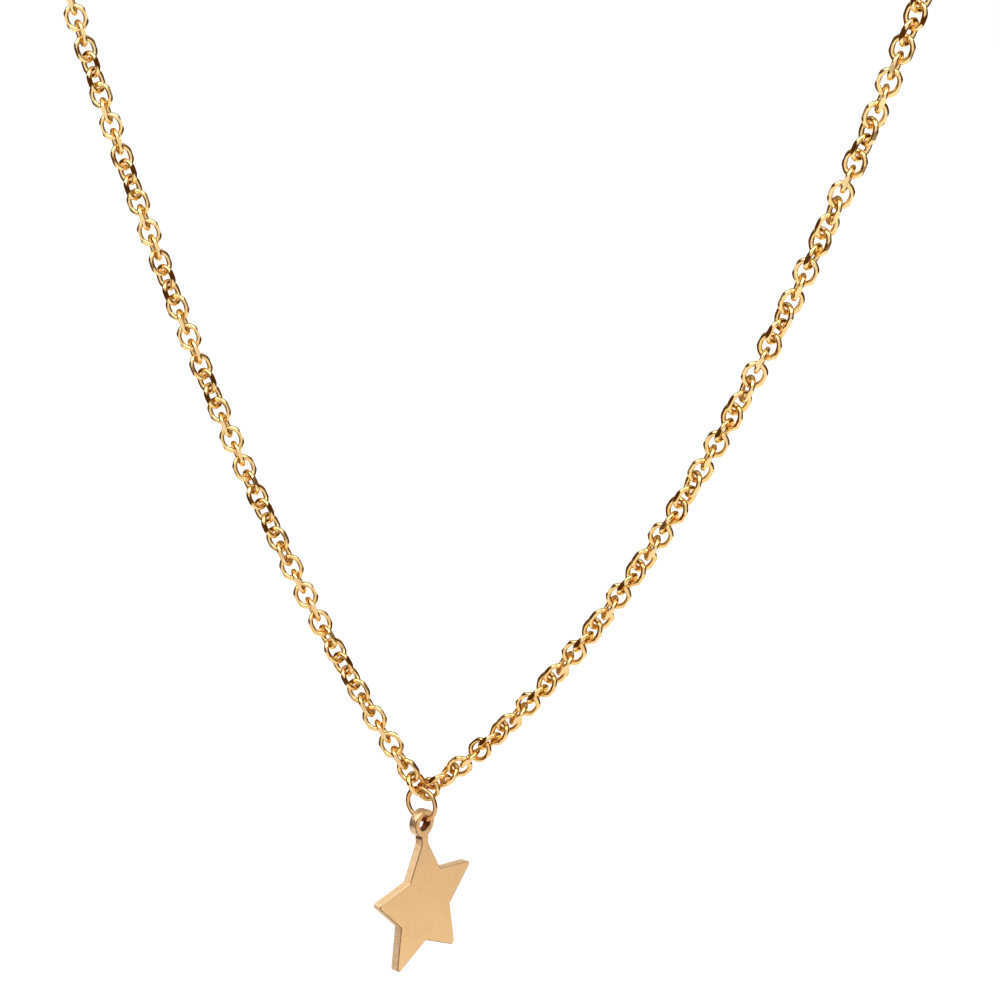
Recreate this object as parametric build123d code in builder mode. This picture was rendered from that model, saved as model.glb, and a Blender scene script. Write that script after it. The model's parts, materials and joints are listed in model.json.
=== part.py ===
from build123d import *
from math import asinh, atan2, cos, degrees, radians, sin, sqrt, tan
import os

# A star pendant on a jump ring, hung from an oval cable chain that runs once round the neck.
# Millimetres, +Z up, the wearer faces -Y, +X is to the right seen from the front.
# The origin is the point of the chain that rests on the nape.

# Star plate
arm_count = 5
star_reach = 8.0
notch_reach = 4.15
tip_round = 0.35
plate_thickness = 0.95
neck_width = 1.05
neck_length = 1.0
neck_round = 0.2

# Eyelet, sawn from the same plate
eyelet_diameter = 3.0
eyelet_hole = 1.65

# Jump ring
ring_diameter = 4.0
ring_wire = 0.5

# Chain link, before its two long sides are cut flat, and across those flats
link_length = 2.84
link_wire = 0.52
link_round_width = 2.54
link_flat_width = 2.28

# Clearances: between linked links, at the two lowest links, and where the ring and the star hang
link_gap = 0.15
lowest_gap = 0.05
hang_gap = 0.12
lane_gap = 0.14

# Clasp
clasp_diameter = 6.0
clasp_eye_diameter = 2.5
clasp_wire = 0.8
clasp_sink = 0.15

# How the front hangs: slopes at the pendant, and the pull that gives the strands their curve
left_slope = 51.1
right_slope = 39.9
hang_pull = 49.6
front_length_left = 88.0
front_length_right = 102.0
front_steps = 6

# Turns about the vertical: the ring and the star from the plane of the front
ring_turn = -9.0
star_turn = -14.2

# Where the nape is, from the lowest link
nape_across = 7.0
nape_back = 56.0
nape_rise = 124.0

# Chosen points of the route round the neck, from the lowest link: x, y, z
neck_route_left = [
    (-43.0, 1.8, 92.0),
    (-46.2, 9.0, 102.0),
    (-46.8, 20.5, 110.5),
    (-42.0, 34.5, 117.0),
    (-31.0, 46.0, 121.2),
    (-13.0, 54.0, 123.6),
]
neck_route_right = [
    (54.8, 2.4, 100.0),
    (56.3, 10.5, 108.0),
    (54.0, 23.5, 114.8),
    (46.5, 36.5, 119.5),
    (35.5, 47.0, 122.4),
    (22.0, 54.0, 123.7),
]

# Roll of the links about the strand in degrees: link number, roll
rolls_left = [(0, -11.0), (1, -92.0), (3, -235.5), (14, -1315.5), (25, -2395.5), (53, -5275.5)]
rolls_right = [
    (0, 87.0),
    (1, -35.5),
    (10, -982.0),
    (15, -1522.0),
    (20, -2062.0),
    (25, -2602.0),
    (32, -3322.0),
    (56, -5842.0),
]
usual_roll = -98.0

# Derived sizes
link_pitch = link_length - 2 * link_wire - link_gap
link_reach = (link_length - link_wire) / 2
hook_spacing = link_wire + link_gap
lane_shift = (link_wire / 2 + ring_wire / 2 + lane_gap) / 2
lowest = Vector(-nape_across, -nape_back, -nape_rise)
up = Vector(0, 0, 1)


def front_point(slope, side, length):
    """A point of a hanging strand, this far along it from the pendant."""
    start = tan(radians(slope))
    end = start + length / hang_pull
    across = hang_pull * (asinh(end) - asinh(start))
    rise = hang_pull * (sqrt(1 + end**2) - sqrt(1 + start**2))
    return lowest + Vector(side * across, 0, rise)


def strand(slope, side, front_length, neck_points, lane):
    """The centre line of half the chain, from the pendant to the nape."""
    points = [front_point(slope, side, front_length * step / front_steps) for step in range(front_steps + 1)]
    points[0] += Vector(0, lane, 0)
    points += [lowest + Vector(*point) for point in neck_points]
    points.append(Vector(0, 0, 0))
    start = Vector(side * cos(radians(slope)), 0, sin(radians(slope)))
    with BuildLine() as line:
        Spline(*points, tangents=(start, Vector(-side, 0, 0)))
    return line.edge()


def roll_at(rows, number):
    """The roll between two rows of a table, in a straight line from one to the next."""
    before = [row for row in rows if row[0] <= number][-1]
    after = [row for row in rows if row[0] >= number][0]
    if before == after:
        return before[1]
    share = (number - before[0]) / (after[0] - before[0])
    return before[1] + share * (after[1] - before[1])


def link_places(line, first, rolls):
    """One place for each link of a strand: X along the strand, Y across the link."""
    count = round((line.length - clasp_reach - first + link_pitch / 2) / link_pitch)
    pitch = (line.length - clasp_reach - first + link_pitch / 2) / count
    across = Vector(0, 1, 0)
    frames = []
    for number in range(count):
        along = first + number * pitch
        centre = line.position_at(along, PositionMode.LENGTH)
        tangent = line.tangent_at(along, PositionMode.LENGTH)
        across = (across - tangent * across.dot(tangent)).normalized()
        frames.append((centre, tangent, across))
    # The last link stands square to the clasp, by whole half turns from the usual roll
    tangent, across = frames[-1][1:]
    square = degrees(atan2(clasp_normal.dot(tangent.cross(across)), clasp_normal.dot(across)))
    usual = rolls[-1][1] + usual_roll * (count - 1 - rolls[-1][0])
    rows = rolls + [(count - 1, square + 180 * round((usual - square) / 180))]
    places = []
    for number, (centre, tangent, across) in enumerate(frames):
        roll = radians(roll_at(rows, number))
        width = across * cos(roll) + tangent.cross(across) * sin(roll)
        places.append(Plane(centre, x_dir=tangent, z_dir=tangent.cross(width)))
    return places


# Clasp: a plain ring with a small eye beside it, flat against the nape
clasp_normal = Vector(0, -1, 0)
clasp_radius = (clasp_diameter - clasp_wire) / 2
eye_radius = (clasp_eye_diameter - clasp_wire) / 2
eye_distance = clasp_radius + eye_radius + clasp_wire - clasp_sink
link_depth = (clasp_wire + link_wire) / 2 + link_gap - hook_spacing / 2
clasp_reach = (clasp_radius + eye_distance + eye_radius) / 2 - link_depth
clasp_centre = Vector(clasp_reach - clasp_radius + link_depth, 0, 0)
clasp_place = Plane(clasp_centre, x_dir=Vector(1, 0, 0), z_dir=clasp_normal)
with BuildPart() as clasp:
    with Locations(clasp_place.location):
        Torus(clasp_radius, clasp_wire / 2)
    with Locations(clasp_place.location * Location((-eye_distance, 0, 0))):
        Torus(eye_radius, clasp_wire / 2)

# One link: an oval of round wire, cut flat along its two long sides
bend_radius = (link_round_width - link_wire) / 2
with BuildPart() as link:
    with BuildLine() as oval:
        straight = (link_length - link_round_width) / 2
        Line((-straight, -bend_radius), (straight, -bend_radius))
        ThreePointArc((straight, -bend_radius), (straight + bend_radius, 0), (straight, bend_radius))
        Line((straight, bend_radius), (-straight, bend_radius))
        ThreePointArc((-straight, bend_radius), (-straight - bend_radius, 0), (-straight, -bend_radius))
    with BuildSketch(Plane(oval.line @ 0, z_dir=oval.line % 0)):
        Circle(link_wire / 2)
    sweep(path=oval.line)
    Box(2 * link_length, link_flat_width, 2 * link_wire, mode=Mode.INTERSECT)

# Chain: two strands that meet where the ring hangs
left_line = strand(left_slope, -1, front_length_left, neck_route_left, 0)
right_line = strand(right_slope, 1, front_length_right, neck_route_right, lane_shift)
left_places = link_places(left_line, link_reach, rolls_left)
right_places = link_places(right_line, link_reach - link_wire - lowest_gap, rolls_right)
with BuildPart() as chain_left:
    with Locations(*[place.location for place in left_places]):
        add(link.part)
with BuildPart() as chain_right:
    with Locations(*[place.location for place in right_places]):
        add(link.part)

# Jump ring: hangs on the end of the lowest left link, in the lane in front of the right strand
ring_radius = (ring_diameter - ring_wire) / 2
ring_direction = Vector(1, 0, 0).rotate(Axis.Z, ring_turn)
ring_normal = ring_direction.cross(up)
ring_drop = ring_radius - (link_wire + ring_wire) / 2 - hang_gap
ring_centre = lowest + ring_normal * lane_shift - up * ring_drop
with BuildPart() as jump_ring:
    with Locations(Plane(ring_centre, x_dir=ring_direction, z_dir=ring_normal).location):
        Torus(ring_radius, ring_wire / 2)

# Star: its eyelet hangs on the ring's lowest point, clear of the wire's curve at the plate's two faces
star_normal = Vector(1, 0, 0).rotate(Axis.Z, star_turn)
ring_inside = ring_radius - ring_wire / 2
wire_rise = ring_inside - sqrt(ring_inside**2 - (plate_thickness / 2) ** 2)
eyelet_drop = (eyelet_hole - ring_wire) / 2 - hang_gap - wire_rise
arm_step = 360 / arm_count
notch_side = notch_reach * sin(radians(arm_step / 2))
notch_height = notch_reach * cos(radians(arm_step / 2))
neck_foot = star_reach - neck_width / 2 * (star_reach - notch_height) / notch_side
neck_top = neck_foot + neck_length
eyelet_height = neck_top + sqrt((eyelet_diameter / 2) ** 2 - (neck_width / 2) ** 2)
star_centre = ring_centre - up * (ring_radius + eyelet_drop + eyelet_height)
star_plane = Plane(star_centre, x_dir=up.cross(star_normal), z_dir=star_normal)
with BuildPart() as star_pendant:
    with BuildSketch(star_plane) as outline:
        corners = []
        for arm in range(arm_count):
            corners.append(Vector(0, star_reach).rotate(Axis.Z, arm_step * arm))
            corners.append(Vector(0, notch_reach).rotate(Axis.Z, arm_step * (arm + 0.5)))
        Polygon(*corners, align=None)
        tips = outline.vertices().sort_by_distance((0, 0), reverse=True)[:arm_count]
        fillet([tip for tip in tips if tip.Y < notch_reach], tip_round)
        with Locations((0, eyelet_height / 2)):
            Rectangle(neck_width, eyelet_height)
        with Locations((0, eyelet_height)):
            Circle(eyelet_diameter / 2)
        neck_corners = [(-neck_width / 2, neck_top), (neck_width / 2, neck_top)]
        fillet([outline.vertices().sort_by_distance(corner)[0] for corner in neck_corners], neck_round)
        with Locations((0, eyelet_height)):
            Circle(eyelet_hole / 2, mode=Mode.SUBTRACT)
    extrude(amount=plate_thickness / 2, both=True)

os.makedirs("parts", exist_ok=True)
star_pendant.part.label = "star_pendant"
export_step(star_pendant.part, "parts/star_pendant.step")
jump_ring.part.label = "jump_ring"
export_step(jump_ring.part, "parts/jump_ring.step")
chain_left.part.label = "chain_left"
export_step(chain_left.part, "parts/chain_left.step")
chain_right.part.label = "chain_right"
export_step(chain_right.part, "parts/chain_right.step")
clasp.part.label = "clasp"
export_step(clasp.part, "parts/clasp.step")
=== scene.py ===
import json
from math import copysign, cos, hypot, pi, radians, sin, sqrt

import bmesh
import bpy
import numpy as np
from mathutils import Matrix, Vector


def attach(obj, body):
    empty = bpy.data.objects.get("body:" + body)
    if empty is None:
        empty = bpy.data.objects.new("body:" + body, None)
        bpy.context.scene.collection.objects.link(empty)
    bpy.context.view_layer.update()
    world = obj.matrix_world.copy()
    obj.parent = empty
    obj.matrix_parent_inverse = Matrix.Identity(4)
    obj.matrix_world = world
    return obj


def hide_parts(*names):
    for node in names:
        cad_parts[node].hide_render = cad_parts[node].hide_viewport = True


# A star pendant on its jump ring and oval cable chain, in metres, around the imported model.
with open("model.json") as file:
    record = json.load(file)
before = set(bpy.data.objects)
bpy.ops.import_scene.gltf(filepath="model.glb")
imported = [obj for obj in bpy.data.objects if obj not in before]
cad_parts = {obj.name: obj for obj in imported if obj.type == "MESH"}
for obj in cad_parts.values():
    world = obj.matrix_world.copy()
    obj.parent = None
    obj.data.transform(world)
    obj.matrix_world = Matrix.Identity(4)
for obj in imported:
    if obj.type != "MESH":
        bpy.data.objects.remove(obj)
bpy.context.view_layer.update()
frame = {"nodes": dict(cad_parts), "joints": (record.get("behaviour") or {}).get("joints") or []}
scene = bpy.context.scene

MM = 0.001
NODES = frame["nodes"]
JOINTS = {joint["name"]: joint for joint in frame["joints"]}
STAR_NORMAL = Vector(JOINTS["star_swing"]["axis"]).normalized()
HANG_POINT = Vector(JOINTS["ring_swing"]["pos_m"])

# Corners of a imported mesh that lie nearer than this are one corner
SAME_CORNER = MM / 10000

# Link: an oval of round wire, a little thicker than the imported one, cut flat along its two long sides
LINK_LENGTH = 2.84 * MM
LINK_ROUND_WIDTH = 2.54 * MM
LINK_FLAT_WIDTH = 2.27 * MM
LINK_WIRE = 0.55 * MM
LINK_BEND = (LINK_ROUND_WIDTH - LINK_WIRE) / 2
LINK_STRAIGHT = (LINK_LENGTH - LINK_ROUND_WIDTH) / 2
FLAT_HALF_LENGTH = LINK_STRAIGHT + sqrt((LINK_ROUND_WIDTH / 2) ** 2 - (LINK_FLAT_WIDTH / 2) ** 2)
FLAT_HALF_WIDTH = sqrt((LINK_WIRE / 2) ** 2 - (LINK_FLAT_WIDTH / 2 - LINK_BEND) ** 2)

# Cage of a link before it is smoothed, with its points on a flat as shares of the flat's half sizes
WIRE_SIDES = 6
OVAL_STEPS = 12
FLAT_END = 1.15
FLAT_SIDE = 1.02
FLAT_CORNER_ALONG = 0.80
FLAT_CORNER_ACROSS = 0.96

# How far the outside of a bend is swelled before it is smoothed, and how sharp the ends of a flat stay
BEND_SWELL = 1.045
FLAT_END_CREASE = 0.6

# Star plate and its eyelet, and how far below the eyelet's middle lies its neck's fold, where shade is
# painted
RIM_BEVEL = 0.08 * MM
EYELET_RADIUS = 1.5 * MM
EYELET_HOLE_RADIUS = 0.825 * MM
FOLD_DROP = 1.58 * MM

# Photograph: scale at the lowest link, its place in the picture, and the view's direction and distance
PICTURE = 1000
PIXEL = 0.105 * MM
HANG_PIXEL = (423.3, 792.9)
VIEW_TURN = 25.0
VIEW_PITCH = 18.0
VIEW_DISTANCE = 315.7 * MM

# Paper floor, which runs away from the camera
FLOOR_LEVEL = -220 * MM
FLOOR_WIDTH = 400 * MM
FLOOR_LENGTH = 1800 * MM
FLOOR_BACK = 1300 * MM

# Surroundings: how far towards either side, and towards the back, the dark starts and is at its most
BESIDE_STARTS = 0.50
BESIDE_FULL = 0.85
BESIDE_SHARE = 1.0
BEHIND_STARTS = -0.05
BEHIND_FULL = 0.45
BEHIND_SHARE = 0.74
ROOM_BRIGHT = (1.0, 1.0, 1.0, 1.0)
ROOM_DARK = (0.09, 0.035, 0.005, 1.0)

# Lights: power, and how wide each looks in degrees
LIGHT_POWER = 1.1
LIGHT_SPREAD = 40

# Noise in the finishes: the weight of its finer detail
NOISE_ROUGHNESS = 0.55


class Tree:
    """A node tree, with short ways to add nodes and join them."""

    def __init__(self, tree):
        self.tree = tree
        self.tree.nodes.clear()

    def add(self, kind, **settings):
        """A new node with these settings."""
        node = self.tree.nodes.new(kind)
        for name, value in settings.items():
            setattr(node, name, value)
        return node

    def feed(self, socket, value):
        """Joins a socket to another one, or sets it."""
        if isinstance(value, bpy.types.NodeSocket):
            self.tree.links.new(value, socket)
        else:
            socket.default_value = value

    def ramp(self, value, low, high, to_low=0.0, to_high=1.0, shape="LINEAR"):
        """A value carried from one range to another and held there."""
        node = self.add("ShaderNodeMapRange", interpolation_type=shape)
        self.feed(node.inputs["Value"], value)
        node.inputs["From Min"].default_value = low
        node.inputs["From Max"].default_value = high
        node.inputs["To Min"].default_value = to_low
        node.inputs["To Max"].default_value = to_high
        return node.outputs["Result"]

    def blend(self, amount, first, second):
        """A colour between two colours."""
        return self.mixed("RGBA", amount, first, second)

    def between(self, amount, first, second):
        """A number between two numbers."""
        return self.mixed("FLOAT", amount, first, second)

    def mixed(self, kind, amount, first, second):
        """A mix of two inputs of one kind."""
        node = self.add("ShaderNodeMix", data_type=kind)
        self.feed(node.inputs["Factor"], amount)
        self.feed(node.inputs["A"], first)
        self.feed(node.inputs["B"], second)
        return node.outputs["Result"]

    def arithmetic(self, operation, first, second=0.0):
        """One step of arithmetic on two numbers, or on the first alone."""
        node = self.add("ShaderNodeMath", operation=operation)
        self.feed(node.inputs[0], first)
        self.feed(node.inputs[1], second)
        return node.outputs["Value"]

    def measure(self, operation, vector, other):
        """One number from two vectors, such as how far apart they are."""
        node = self.add("ShaderNodeVectorMath", operation=operation)
        self.feed(node.inputs[0], vector)
        node.inputs[1].default_value = other
        return node.outputs["Value"]


class Shader(Tree):
    """A material's node tree, with the nodes that its finishes are made of."""

    def __init__(self, name):
        self.material = bpy.data.materials.new(name)
        self.material.use_nodes = True
        super().__init__(self.material.node_tree)
        self.surface = self.add("ShaderNodeBsdfPrincipled")
        output = self.add("ShaderNodeOutputMaterial")
        self.feed(output.inputs["Surface"], self.surface.outputs["BSDF"])
        self.place = self.add("ShaderNodeTexCoord").outputs["Object"]

    def noise(self, size, detail=3.0):
        """Noise whose features are about this size, in metres."""
        node = self.add("ShaderNodeTexNoise")
        self.feed(node.inputs["Vector"], self.place)
        node.inputs["Scale"].default_value = 1 / size
        node.inputs["Detail"].default_value = detail
        node.inputs["Roughness"].default_value = NOISE_ROUGHNESS
        return node.outputs["Fac"]

    def distance(self, point):
        """How far a surface is from a point of the resting piece, in metres."""
        return self.measure("DISTANCE", self.place, point)

    def height(self):
        """The height of a surface on the resting piece, in metres."""
        split = self.add("ShaderNodeSeparateXYZ")
        self.feed(split.inputs[0], self.place)
        return split.outputs["Z"]

    def level_gap(self, level):
        """How far above or below a level of the resting piece a surface is, in metres."""
        return self.arithmetic("ABSOLUTE", self.arithmetic("SUBTRACT", self.height(), level))

    def marked(self, name):
        """How far a surface is marked by one of the piece's own attributes."""
        return self.add("ShaderNodeAttribute", attribute_name=name).outputs["Fac"]

    def bump(self, height, depth):
        """Relief of this depth, in metres."""
        node = self.add("ShaderNodeBump")
        node.inputs["Distance"].default_value = depth
        self.feed(node.inputs["Height"], height)
        return node.outputs["Normal"]


def colour(red, green, blue):
    """A full colour, with nothing seen through it."""
    return (red, green, blue, 1.0)


def eyelet_centre():
    """The middle of the star's eyelet, at rest."""
    box = [Vector(corner) for corner in NODES["star_pendant"].bound_box]
    middle = sum(box, Vector()) / len(box)
    middle.z = max(corner.z for corner in box) - EYELET_RADIUS
    return middle


def chain_gold():
    """Polished yellow gold, with painted light that makes it paler towards the neck, and rosy mirror-smooth
    flats.
    """
    shader = Shader("chain gold")
    surface = shader.surface
    surface.inputs["Metallic"].default_value = 1.0
    cut = shader.marked("cut")
    tone = shader.ramp(shader.noise(2.2 * MM), 0.35, 0.65)
    warm = shader.blend(tone, colour(0.77, 0.505, 0.195), colour(0.84, 0.57, 0.245))
    rosy = shader.blend(cut, warm, colour(0.86, 0.57, 0.28))
    # Painted light: the chain is painted paler higher up, towards the neck, as if more light fell there
    high = shader.ramp(shader.height(), HANG_POINT.z, HANG_POINT.z / 4)
    shader.feed(surface.inputs["Base Color"], shader.blend(high, rosy, colour(0.96, 0.71, 0.34)))
    surface.inputs["Specular Tint"].default_value = colour(0.90, 0.56, 0.18)
    wear = shader.ramp(shader.noise(0.12 * MM), 0.3, 0.7, 0.08, 0.17)
    shader.feed(surface.inputs["Roughness"], shader.between(cut, wear, 0.07))
    shader.feed(surface.inputs["Normal"], shader.bump(shader.noise(0.09 * MM), 0.0015 * MM))
    return shader.material


def ring_gold():
    """Polished warm gold wire, finely marked."""
    shader = Shader("ring gold")
    surface = shader.surface
    surface.inputs["Metallic"].default_value = 1.0
    tone = shader.ramp(shader.noise(1.4 * MM), 0.35, 0.65)
    warm = shader.blend(tone, colour(0.60, 0.365, 0.175), colour(0.68, 0.43, 0.215))
    shader.feed(surface.inputs["Base Color"], warm)
    surface.inputs["Specular Tint"].default_value = colour(0.88, 0.52, 0.24)
    shader.feed(surface.inputs["Roughness"], shader.ramp(shader.noise(0.12 * MM), 0.3, 0.7, 0.10, 0.20))
    shader.feed(surface.inputs["Normal"], shader.bump(shader.noise(0.08 * MM), 0.002 * MM))
    return shader.material


def star_gold():
    """Satin gold on the two faces with painted glints, painted dark reflection and painted light on the
    rims, sawn sides with painted light and shade, painted shade in the eyelet's hole, and a polished
    eyelet.
    """
    shader = Shader("star gold")
    surface = shader.surface
    side = shader.marked("side")
    rim = shader.marked("rim")
    hole = shader.marked("hole")
    rise = shader.marked("rise")
    centre = eyelet_centre()
    polished = shader.ramp(shader.distance(centre), 1.6 * MM, 1.9 * MM, 1.0, 0.0)
    # Where the painted shade of the fold under the eyelet falls
    fold = shader.ramp(shader.level_gap(centre.z - FOLD_DROP), 0.10 * MM, 0.20 * MM, 1.0, 0.0)

    # Faces: two tones, with lighter flecks of painted glint on the satin grain, and dull flecks
    tone = shader.ramp(shader.noise(3.0 * MM), 0.35, 0.65)
    face = shader.blend(tone, colour(0.96, 0.63, 0.305), colour(1.0, 0.665, 0.33))
    # Painted glints: sparse lighter flecks on the satin faces
    painted_glint_flecks = shader.ramp(shader.noise(0.16 * MM, 2.0), 0.54, 0.72, 0.0, 0.8)
    dull = shader.ramp(shader.noise(0.21 * MM, 2.0), 0.54, 0.72, 0.0, 0.7)
    face = shader.blend(painted_glint_flecks, face, colour(1.0, 0.78, 0.46))
    face = shader.blend(dull, face, colour(0.84, 0.53, 0.25))

    # Sawn sides: grained, with painted light where they look up and painted shade elsewhere, and painted
    # shade in the fold under the eyelet
    grain = shader.ramp(shader.noise(0.12 * MM, 4.0), 0.35, 0.65)
    # Painted shade on sides that look sideways or down, painted light on sides that look up
    sawn_painted_shade = shader.blend(grain, colour(0.50, 0.30, 0.16), colour(0.86, 0.60, 0.37))
    sawn_painted_lit = shader.blend(grain, colour(0.76, 0.49, 0.25), colour(1.0, 0.75, 0.44))
    sawn = shader.blend(shader.ramp(rise, 0.1, 0.5), sawn_painted_shade, sawn_painted_lit)
    # Painted shade: the sides are painted dark in the fold under the eyelet
    sawn_with_fold_shade = shader.blend(shader.arithmetic("MULTIPLY", fold, side), sawn, colour(0.16, 0.05, 0.015))

    # Rims: painted dark reflection in brown, and painted light where they look up
    painted_rim_light = shader.blend(shader.ramp(rise, 0.5, 0.8), colour(0.24, 0.12, 0.045), colour(0.98, 0.74, 0.42))
    rimmed = shader.blend(rim, shader.blend(side, face, sawn_with_fold_shade), painted_rim_light)
    # Painted shade: the wall of the eyelet's hole is painted dark red-brown
    shader.feed(surface.inputs["Base Color"], shader.blend(hole, rimmed, colour(0.30, 0.09, 0.025)))

    satin = shader.ramp(shader.noise(0.16 * MM), 0.3, 0.7, 0.40, 0.50)
    edge = shader.between(polished, 0.58, 0.20)
    shader.feed(surface.inputs["Roughness"], shader.between(side, satin, edge))
    shader.feed(surface.inputs["Metallic"], shader.between(side, 1.0, shader.between(polished, 0.45, 0.80)))
    fine = shader.bump(shader.noise(0.07 * MM), 0.005 * MM)
    rough = shader.bump(grain, 0.012 * MM)
    shader.feed(surface.inputs["Normal"], shader.mixed("VECTOR", side, fine, rough))
    return shader.material


def finished(name, bm, material, body, slot, *nodes):
    """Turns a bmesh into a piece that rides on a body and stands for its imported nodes."""
    mesh = bpy.data.meshes.new(name)
    bm.to_mesh(mesh)
    bm.free()
    piece = bpy.data.objects.new(name, mesh)
    scene.collection.objects.link(piece)
    mesh.materials.append(material)
    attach(piece, body)
    if nodes:
        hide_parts(*nodes)
    return piece


def smoothing_shrink(sides):
    """How far smoothing draws a regular cage of this many sides in, as a share of its radius."""
    return (4 + 2 * cos(2 * pi / sides)) / 6


def wire_oval():
    """The cage of one link before its flats are cut: its length along X and its width along Y."""
    wire = LINK_WIRE / 2 / smoothing_shrink(WIRE_SIDES)
    bend = LINK_BEND / smoothing_shrink(OVAL_STEPS)
    bm = bmesh.new()
    section = bmesh.ops.create_circle(bm, segments=WIRE_SIDES, radius=wire)["verts"]
    bmesh.ops.rotate(bm, verts=section, cent=(0, 0, 0), matrix=Matrix.Rotation(pi / 2, 3, "Y"))
    bmesh.ops.translate(bm, verts=section, vec=(0, bend, 0))
    bmesh.ops.spin(
        bm,
        geom=section + bm.edges[:],
        cent=(0, 0, 0),
        axis=(0, 0, 1),
        angle=2 * pi,
        steps=OVAL_STEPS,
        use_merge=True,
    )
    for vert in bm.verts:
        if abs(vert.co.x) > LINK_STRAIGHT / 2:
            vert.co.x += copysign(LINK_STRAIGHT, vert.co.x)
    return bm


def swell_bends(bm):
    """Pushes the outside of a link's two bends out."""
    past_straight = LINK_BEND / 2
    outside = LINK_BEND + LINK_WIRE / 3
    for vert in bm.verts:
        along = abs(vert.co.x) - LINK_STRAIGHT
        if along > past_straight and hypot(along, vert.co.y) > outside:
            vert.co.x = copysign(LINK_STRAIGHT + along * BEND_SWELL, vert.co.x)
            vert.co.y *= BEND_SWELL


def cut_flats(bm):
    """Presses a link's two long sides flat, and marks and creases the flats."""
    cut = bm.faces.layers.float.new("cut")
    crease = bm.edges.layers.float.new("crease_edge")
    middle = LINK_STRAIGHT / 2
    slack = LINK_WIRE / 10
    for side in (-1, 1):
        flat = {vert for vert in bm.verts if vert.co.y * side > LINK_BEND - slack}
        for vert in flat:
            vert.co.y = side * LINK_FLAT_WIDTH / 2
            on_middle = abs(vert.co.x) < middle
            on_centre = abs(vert.co.z) < slack
            if not on_middle:
                reach = FLAT_END if on_centre else FLAT_CORNER_ALONG
                vert.co.x = copysign(reach * FLAT_HALF_LENGTH, vert.co.x)
            if not on_centre:
                reach = FLAT_SIDE if on_middle else FLAT_CORNER_ACROSS
                vert.co.z = copysign(reach * FLAT_HALF_WIDTH, vert.co.z)
        facet = {face for face in bm.faces if set(face.verts) <= flat}
        for face in facet:
            face[cut] = 1.0
            for edge in face.edges:
                if not set(edge.link_faces) <= facet:
                    across_end = all(abs(vert.co.x) > middle for vert in edge.verts)
                    edge[crease] = FLAT_END_CREASE if across_end else 1.0
                    edge.smooth = across_end


def link_cage():
    """One link about the origin, its length along X, its width along Y and its two long sides flat."""
    bm = wire_oval()
    swell_bends(bm)
    cut_flats(bm)
    bmesh.ops.recalc_face_normals(bm, faces=bm.faces)
    for face in bm.faces:
        face.smooth = True
    mesh = bpy.data.meshes.new("link cage")
    bm.to_mesh(mesh)
    bm.free()
    return mesh


def loose_parts(mesh):
    """The triangles' middles, areas and part numbers of a mesh that is many closed bodies."""
    bm = bmesh.new()
    bm.from_mesh(mesh)
    bmesh.ops.remove_doubles(bm, verts=bm.verts, dist=SAME_CORNER)
    bm.verts.index_update()
    corners = np.array([[vert.index for vert in face.verts] for face in bm.faces])
    place = np.array([vert.co for vert in bm.verts])
    bm.free()
    # The lowest corner number spreads through each body until all its corners carry it
    label = np.arange(len(place))
    while True:
        lowest = label[corners].min(axis=1)
        spread = label.copy()
        for column in range(3):
            np.minimum.at(spread, corners[:, column], lowest)
        spread = spread[spread]
        if (spread == label).all():
            break
        label = spread
    a, b, c = (place[corners[:, column]] for column in range(3))
    area = np.linalg.norm(np.cross(b - a, c - a), axis=1) / 2
    return (a + b + c) / 3, area, label[corners[:, 0]]


def link_places(node):
    """Where each link of a packed chain lies: X along it, Y across it."""
    middles, areas, labels = loose_parts(NODES[node].data)
    order = np.argsort(labels, kind="stable")
    starts = np.flatnonzero(np.diff(labels[order])) + 1
    places = []
    for part in np.split(order, starts):
        centre = np.average(middles[part], axis=0, weights=areas[part])
        # A link's surface spreads widest along it and least through its wire
        spread = np.cov(middles[part].T, aweights=areas[part])
        axes = np.linalg.eigh(spread)[1][:, ::-1]
        if np.linalg.det(axes) < 0:
            axes[:, 2] *= -1
        place = Matrix(axes.tolist()).to_4x4()
        place.translation = Vector(centre)
        places.append(place)
    return places


def chain_strand(name, node, cage, material):
    """All the links of one strand, joined in one piece and smoothed."""
    bm = bmesh.new()
    for place in link_places(node):
        link = cage.copy()
        link.transform(place)
        bm.from_mesh(link)
        bpy.data.meshes.remove(link)
    strand = finished(name, bm, material, "necklace", "chain_gold", node)
    smooth = strand.modifiers.new("smooth wire", "SUBSURF")
    smooth.levels = 1
    smooth.render_levels = 1


def star_plate(material):
    """The star and its eyelet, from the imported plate, with its sharp rims rounded over."""
    same_plane, near_face, sharp = radians(0.2), radians(20), radians(40)
    bm = bmesh.new()
    bm.from_mesh(NODES["star_pendant"].data)
    bmesh.ops.remove_doubles(bm, verts=bm.verts, dist=SAME_CORNER)
    bmesh.ops.dissolve_limit(bm, angle_limit=same_plane, verts=bm.verts, edges=bm.edges)
    bm.normal_update()
    rims = [
        edge
        for edge in bm.edges
        if sum(abs(face.normal.dot(STAR_NORMAL)) > cos(near_face) for face in edge.link_faces) == 1
    ]
    bmesh.ops.bevel(
        bm,
        geom=rims,
        offset=RIM_BEVEL,
        affect="EDGES",
        segments=3,
        profile=0.5,
        material=-1,
        clamp_overlap=True,
    )
    bm.normal_update()
    mark_plate(bm)
    for edge in bm.edges:
        edge.smooth = edge.calc_face_angle(0) < sharp
    plate = finished("star_plate", bm, material, "pendant", "star_gold", "star_pendant")
    even = plate.modifiers.new("even shading", "WEIGHTED_NORMAL")
    even.keep_sharp = True


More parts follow.
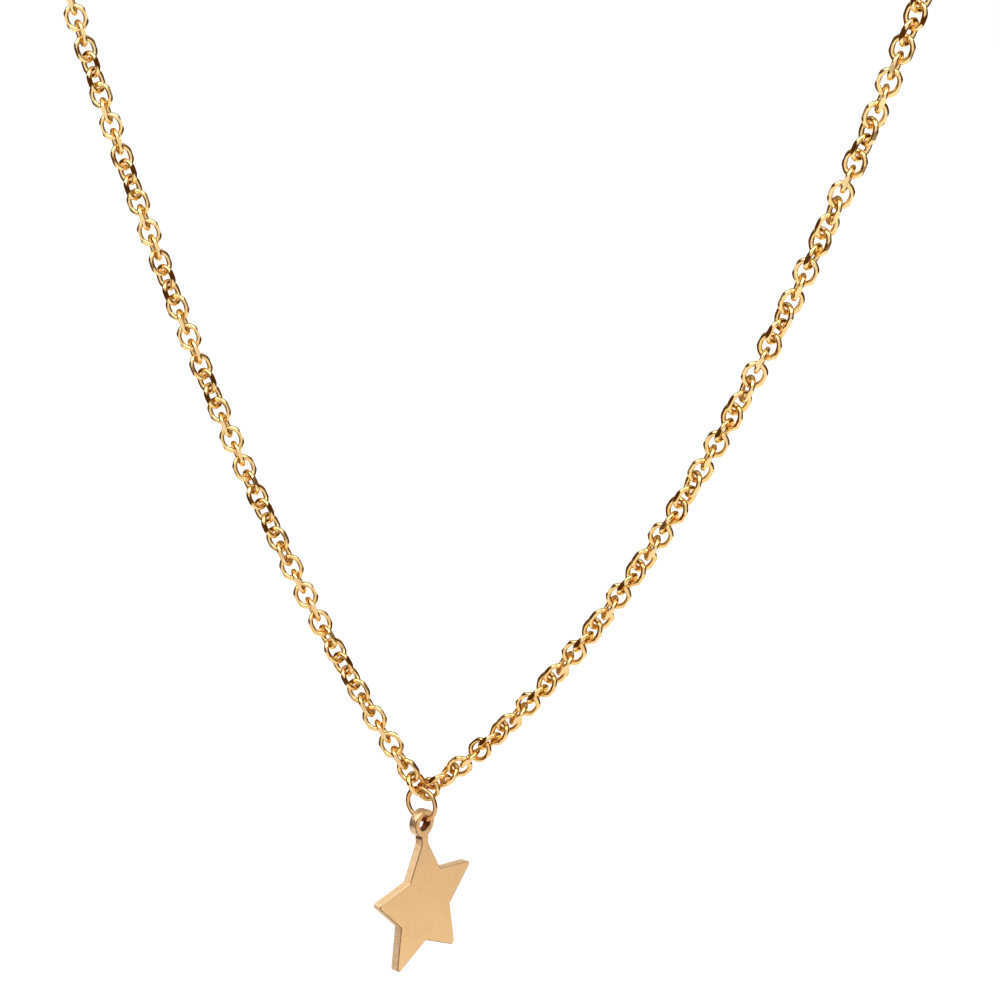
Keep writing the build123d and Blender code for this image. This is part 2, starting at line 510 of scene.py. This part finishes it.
def mark_plate(bm):
    """Marks the plate's sides, its rounded rims, its eyelet's hole, and how far each side looks up."""
    side = bm.faces.layers.float.new("side")
    rim = bm.faces.layers.float.new("rim")
    hole = bm.faces.layers.float.new("hole")
    rise = bm.faces.layers.float.new("rise")
    edge_on, face_on = 0.1, 0.985
    hole_reach = 1.05 * EYELET_HOLE_RADIUS
    centre = eyelet_centre()
    for face in bm.faces:
        face.smooth = True
        facing = abs(face.normal.dot(STAR_NORMAL))
        out = face.calc_center_median() - centre
        out -= out.project(STAR_NORMAL)
        outward = face.normal - face.normal.project(STAR_NORMAL)
        face[side] = 1.0 - facing
        face[rim] = 1.0 if edge_on < facing < face_on else 0.0
        face[hole] = 1.0 if facing < edge_on and out.length < hole_reach else 0.0
        face[rise] = outward.normalized().z


def paint_node(node, material):
    """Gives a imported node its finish."""
    slots = NODES[node].data.materials
    slots.clear()
    slots.append(material)


def camera_axes():
    """The camera's right, up and back."""
    turn, pitch = radians(VIEW_TURN), radians(VIEW_PITCH)
    back = Vector((sin(turn) * cos(pitch), -cos(turn) * cos(pitch), sin(pitch)))
    right = Vector((cos(turn), sin(turn), 0))
    return right, back.cross(right), back


def photo_camera():
    """The photograph's view: the lowest link stands at its pixel."""
    right, up, back = camera_axes()
    across = (HANG_PIXEL[0] - PICTURE / 2) * PIXEL
    above = (PICTURE / 2 - HANG_PIXEL[1]) * PIXEL
    lens = bpy.data.cameras.new("camera")
    lens.lens = lens.sensor_width * VIEW_DISTANCE / (PICTURE * PIXEL)
    lens.clip_start = 10 * MM
    camera = bpy.data.objects.new("camera", lens)
    scene.collection.objects.link(camera)
    turned = Matrix((right, up, back)).transposed().to_4x4()
    turned.translation = HANG_POINT + back * VIEW_DISTANCE - right * across - up * above
    camera.matrix_world = turned
    scene.camera = camera


def paper_floor():
    """White paper under the pendant, which runs away from the camera."""
    floor_mesh = bpy.data.meshes.new("floor")
    bm = bmesh.new()
    bmesh.ops.create_grid(bm, x_segments=1, y_segments=1, size=FLOOR_LENGTH / 2)
    bmesh.ops.scale(bm, verts=bm.verts, vec=(FLOOR_WIDTH / FLOOR_LENGTH, 1, 1))
    bmesh.ops.translate(bm, verts=bm.verts, vec=(0, FLOOR_BACK - FLOOR_LENGTH / 2, FLOOR_LEVEL))
    bmesh.ops.rotate(bm, verts=bm.verts, cent=(0, 0, 0), matrix=Matrix.Rotation(radians(VIEW_TURN), 3, "Z"))
    bm.to_mesh(floor_mesh)
    bm.free()
    floor = bpy.data.objects.new("floor", floor_mesh)
    scene.collection.objects.link(floor)
    paper = Shader("floor paper")
    paper.surface.inputs["Base Color"].default_value = colour(0.95, 0.95, 0.95)
    paper.surface.inputs["Roughness"].default_value = 0.9
    paper.surface.inputs["Specular IOR Level"].default_value = 0.0
    floor_mesh.materials.append(paper.material)


def surroundings():
    """White all round but dark to either side and, in part, behind. The camera itself sees white."""
    world = bpy.data.worlds.new("studio")
    world.use_nodes = True
    scene.world = world
    room = Tree(world.node_tree)
    right, up, back = camera_axes()
    direction = room.add("ShaderNodeTexCoord").outputs["Generated"]
    sideways = room.arithmetic("ABSOLUTE", room.measure("DOT_PRODUCT", direction, right))
    away = room.measure("DOT_PRODUCT", direction, -back)
    beside = room.ramp(sideways, BESIDE_STARTS, BESIDE_FULL, 0.0, BESIDE_SHARE, "SMOOTHSTEP")
    behind = room.ramp(away, BEHIND_STARTS, BEHIND_FULL, 0.0, BEHIND_SHARE, "SMOOTHSTEP")
    lit = room.blend(room.arithmetic("MAXIMUM", beside, behind), ROOM_BRIGHT, ROOM_DARK)
    seen = room.add("ShaderNodeLightPath").outputs["Is Camera Ray"]
    background = room.add("ShaderNodeBackground")
    room.feed(background.inputs["Color"], room.blend(seen, lit, ROOM_BRIGHT))
    output = room.add("ShaderNodeOutputWorld")
    room.feed(output.inputs["Surface"], background.outputs["Background"])


def soft_light(name, turn, height):
    """A wide soft light from far off: turned from the camera's side, and this high, in degrees."""
    lamp = bpy.data.lights.new(name, "SUN")
    lamp.energy = LIGHT_POWER
    lamp.angle = radians(LIGHT_SPREAD)
    light = bpy.data.objects.new(name, lamp)
    scene.collection.objects.link(light)
    azimuth, rise = radians(VIEW_TURN + turn), radians(height)
    towards = Vector((sin(azimuth) * cos(rise), -cos(azimuth) * cos(rise), sin(rise)))
    light.rotation_euler = towards.to_track_quat("Z", "Y").to_euler()


photo_camera()
paper_floor()
surroundings()
soft_light("left light", -55, 50)
soft_light("right light", 40, 55)
scene.view_settings.view_transform = "Standard"

chain_finish = chain_gold()
cage = link_cage()
chain_strand("links_left", "chain_left", cage, chain_finish)
chain_strand("links_right", "chain_right", cage, chain_finish)
star_plate(star_gold())
paint_node("jump_ring", ring_gold())
paint_node("clasp", chain_finish)
